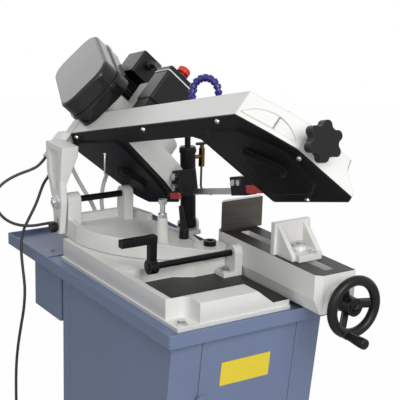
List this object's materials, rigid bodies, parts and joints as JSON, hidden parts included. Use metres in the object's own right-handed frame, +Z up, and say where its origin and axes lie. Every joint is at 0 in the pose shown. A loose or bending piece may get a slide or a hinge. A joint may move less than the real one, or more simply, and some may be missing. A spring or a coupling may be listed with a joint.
{
  "type": "metal cutting band saw",
  "caption": "Horizontal metal cutting band saw with a canted bow, swivelling arm, vise and coolant tray on a cabinet stand.",
  "frame": {"origin": "on the floor, under the middle of the cabinet's width", "axes": "+X along the workpiece, +Y to the rear of the machine, +Z up"},
  "size_m": [0.509, 0.9966, 1.1741],
  "materials": {
    "stand_blue": "satin textured enamel",
    "cast_white": "satin enamel on castings",
    "black_enamel": "gloss black enamel",
    "dark_steel": "ground and oiled",
    "steel": "bright zinc or ground steel",
    "black_oxide": "black oxide",
    "black_plastic": "moulded",
    "red_plastic": "moulded",
    "red_enamel": "satin enamel",
    "yellow_plate": "satin",
    "blue_plastic": "moulded",
    "brass": "turned",
    "gasket": "bright edge",
    "pale_tube": "soft translucent tube",
    "black_rubber": "soft sheath"
  },
  "bodies": {
    "stand": {"cabinet": "stand_blue", "tray": "stand_blue", "rear_tray": "stand_blue", "coolant_tank": "stand_blue", "base_casting": "cast_white", "base_bolts": "steel", "vise_bed": "cast_white", "fixed_jaw": "dark_steel", "stop_rod": "black_oxide", "swivel_pin": "black_oxide", "mains_cable": "black_rubber", "mains_coil": "black_rubber", "mains_plug": "black_plastic", "return_hose": "pale_tube", "drain_hose": "pale_tube"},
    "door": {"door": "stand_blue", "notice_plate": "yellow_plate"},
    "latch": {"door_latch": "steel"},
    "jaw": {"moving_jaw": "cast_white", "jaw_bolts": "steel"},
    "screw": {"lead_screw": "steel", "handwheel": "black_plastic"},
    "crank": {"crank_grip": "black_plastic"},
    "stop": {"stop_arm": "black_oxide"},
    "swivel": {"swivel_arm": "cast_white", "stop_bolt": "steel", "motor_cable": "black_rubber"},
    "lock": {"lock_lever": "black_plastic"},
    "bow": {"bow_frame": "cast_white", "blade_cover": "black_enamel", "bow_screws": "steel", "blade": "steel", "rear_guide": "black_oxide", "rear_guard": "red_enamel", "rear_arm": "cast_white", "pivot_shaft": "black_oxide", "gearbox": "cast_white", "motor": "black_enamel", "belt_base": "black_enamel", "belt_cover": "black_enamel", "terminal_box": "black_plastic", "switch_box": "black_plastic", "switch_gasket": "gasket", "switch_lid": "black_plastic", "coolant_hose": "blue_plastic", "mains_boot": "black_plastic"},
    "drive": {"drive_wheel": "steel"},
    "idler": {"idler_wheel": "steel"},
    "tension": {"tension_slide": "black_enamel"},
    "knob": {"star_knob": "black_plastic"},
    "guide": {"front_guide": "black_oxide", "front_guard": "red_enamel", "front_guide_bolts": "steel"},
    "clamp": {"clamp_knob": "black_plastic"},
    "stop_button": {"e_stop": "red_plastic"},
    "cylinder": {"feed_cylinder": "black_enamel", "feed_tap": "brass"},
    "rod": {"feed_rod": "black_oxide"},
    "tap": {"tap_lever": "black_plastic"}
  },
  "joints": [
    {"name": "door_swing", "type": "hinge", "parent": "stand", "child": "door", "pos_m": [-0.113, -0.20947, 0.37333], "axis": [0, 0.1093, -0.994], "range_deg": [0, 100]},
    {"name": "latch_turn", "type": "hinge", "parent": "door", "child": "latch", "pos_m": [0.083, -0.2052, 0.3738], "axis": [0, -0.994, -0.1093], "range_deg": [0, 90]},
    {"name": "jaw_slide", "type": "slide", "parent": "stand", "child": "jaw", "axis": [0, 1, 0], "range_m": [-0.065, 0.175]},
    {"name": "screw_turn", "type": "hinge", "parent": "stand", "child": "screw", "pos_m": [0.16, -0.356, 0.733], "axis": [0, 1, 0], "continuous": true},
    {"name": "crank_spin", "type": "hinge", "parent": "screw", "child": "crank", "pos_m": [0.1403, -0.39, 0.67887], "axis": [0, 1, 0], "continuous": true},
    {"name": "stop_slide", "type": "slide", "parent": "stand", "child": "stop", "axis": [1, 0, 0], "range_m": [0, 0.13]},
    {"name": "swivel_turn", "type": "hinge", "parent": "stand", "child": "swivel", "pos_m": [0.07, 0.02, 0.742], "axis": [0, 0, 1], "range_deg": [-45, 0], "deforming": ["mains_cable", "return_hose", "drain_hose"]},
    {"name": "lock_turn", "type": "hinge", "parent": "swivel", "child": "lock", "pos_m": [0.05, 0.096, 0.76], "axis": [0, 0, 1], "range_deg": [-30, 30]},
    {"name": "bow_lift", "type": "hinge", "parent": "swivel", "child": "bow", "pos_m": [0, 0.305, 0.825], "axis": [-1, 0, 0], "range_deg": [-17.5, 14], "deforming": ["mains_cable", "return_hose", "drain_hose", "motor_cable"]},
    {"name": "drive_turn", "type": "hinge", "parent": "bow", "child": "drive", "pos_m": [0.00993, 0.26722, 0.90342], "axis": [-0.7071, -0.1711, -0.6861], "continuous": true},
    {"name": "tension_slide", "type": "slide", "parent": "bow", "child": "tension", "axis": [0, -0.9703, 0.2419], "range_m": [-0.008, 0]},
    {"name": "idler_turn", "type": "hinge", "parent": "tension", "child": "idler", "pos_m": [0.00993, -0.281, 1.04011], "axis": [-0.7071, -0.1711, -0.6861], "continuous": true},
    {"name": "knob_turn", "type": "hinge", "parent": "bow", "child": "knob", "pos_m": [-0.00015, -0.41846, 1.09642], "axis": [0, -0.9703, 0.2419], "continuous": true},
    {"name": "guide_slide", "type": "slide", "parent": "bow", "child": "guide", "axis": [0, -0.9703, 0.2419], "range_m": [-0.055, 0.01]},
    {"name": "clamp_turn", "type": "hinge", "parent": "bow", "child": "clamp", "pos_m": [-0.165, 0.306, 0.765], "axis": [1, 0, 0], "continuous": true},
    {"name": "stop_press", "type": "slide", "parent": "bow", "child": "stop_button", "axis": [-0.7071, -0.1711, -0.6861], "range_m": [0, 0.006]},
    {"name": "cylinder_tilt", "type": "hinge", "parent": "swivel", "child": "cylinder", "pos_m": [0.118, 0.186, 0.764], "axis": [-1, 0, 0], "range_deg": [-12.87, 10.34]},
    {"name": "rod_travel", "type": "slide", "parent": "cylinder", "child": "rod", "axis": [0, 0.0564, 0.9984], "range_m": [-0.0356, 0.0287]},
    {"name": "tap_turn", "type": "hinge", "parent": "cylinder", "child": "tap", "pos_m": [0.158, 0.197, 0.95], "axis": [0, 0, 1], "range_deg": [0, 90]}
  ],
  "couplings": [
    {"joint": "screw_turn", "follows": "jaw_slide", "rad_per_m": -1256.6},
    {"joint": "idler_turn", "follows": "drive_turn", "ratio": 1},
    {"joint": "knob_turn", "follows": "tension_slide", "rad_per_m": 3590.4},
    {"joint": "cylinder_tilt", "follows": "bow_lift", "ratio": 0.724},
    {"joint": "rod_travel", "follows": "bow_lift", "m_per_rad": 0.114}
  ]
}
